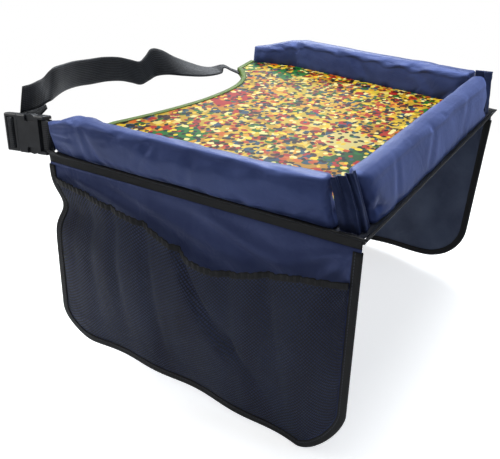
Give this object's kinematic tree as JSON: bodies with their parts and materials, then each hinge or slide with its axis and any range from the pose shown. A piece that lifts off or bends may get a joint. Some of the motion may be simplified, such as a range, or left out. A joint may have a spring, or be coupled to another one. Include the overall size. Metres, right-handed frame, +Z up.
{
  "type": "kids travel tray",
  "caption": "Lap tray for a child's seat: stiff printed top, padded walls on three sides, hanging side flaps with net pockets and a waist strap with a side release buckle.",
  "frame": {"origin": "on the underside of the base, halfway along its depth and its width", "axes": "+Z up out of the play surface, +Y towards the child, +X from the buckled side to the other side"},
  "size_m": [0.4913, 0.4504, 0.3122],
  "materials": {
    "lining": "black woven lining cloth",
    "board": "grey fibre board, hidden",
    "print": "printed vinyl with a satin face",
    "green_tape": "green folded edge tape",
    "nylon": "navy coated nylon over padding",
    "foam": "white open cell foam, hidden",
    "gusset": "black thin cloth",
    "tape": "black grosgrain tape",
    "flap": "very dark navy cloth",
    "net": "black elastic net",
    "elastic": "black bound elastic",
    "acetal": "black moulded plastic",
    "webbing": "black woven webbing"
  },
  "bodies": {
    "tray": {"base_lining": "lining", "base_board": "board", "play_surface": "print", "waist_binding": "green_tape", "near_wall_cover": "nylon", "far_wall_cover": "nylon", "front_wall_cover": "nylon", "near_wall_foam": "foam", "far_wall_foam": "foam", "front_wall_foam": "foam", "near_corner_gusset": "gusset", "far_corner_gusset": "gusset", "near_seam_tape": "tape", "far_seam_tape": "tape", "front_seam_tape": "tape", "buckle_socket": "acetal", "strap_tab": "webbing", "waist_strap": "webbing"},
    "near_flap": {"near_flap_panel": "flap", "near_flap_binding": "tape", "near_net_pocket": "net", "near_pocket_elastic": "elastic"},
    "far_flap": {"far_flap_panel": "flap", "far_flap_binding": "tape", "far_net_pocket": "net", "far_pocket_elastic": "elastic"},
    "buckle_plug": {"buckle_plug": "acetal", "strap_end": "webbing"},
    "plug_arm_upper": {"plug_arm_upper": "acetal"},
    "plug_arm_lower": {"plug_arm_lower": "acetal"}
  },
  "joints": [
    {"name": "near_flap_fold", "type": "hinge", "parent": "tray", "child": "near_flap", "pos_m": [-0.2005, -0.15604, -0.009], "axis": [-0.0995, 0.995, 0], "range_deg": [-55, 120]},
    {"name": "far_flap_fold", "type": "hinge", "parent": "tray", "child": "far_flap", "pos_m": [0.2005, -0.15604, -0.009], "axis": [-0.0995, -0.995, 0], "range_deg": [-55, 120]},
    {"name": "buckle_release", "type": "slide", "parent": "tray", "child": "buckle_plug", "axis": [-0.0989, 0.9886, -0.1132], "range_m": [0, 0.03], "deforming": ["plug_arm_upper", "plug_arm_lower", "strap_end"]},
    {"name": "plug_arm_upper_squeeze", "type": "hinge", "parent": "buckle_plug", "child": "plug_arm_upper", "pos_m": [-0.22915, 0.23021, 0.02724], "axis": [0.9819, 0.0784, -0.1725], "range_deg": [0, 14], "stiffness_Nm_per_rad": 0.05},
    {"name": "plug_arm_lower_squeeze", "type": "hinge", "parent": "buckle_plug", "child": "plug_arm_lower", "pos_m": [-0.23397, 0.22639, -0.00192], "axis": [-0.9819, -0.0784, 0.1725], "range_deg": [0, 14], "stiffness_Nm_per_rad": 0.05}
  ]
}
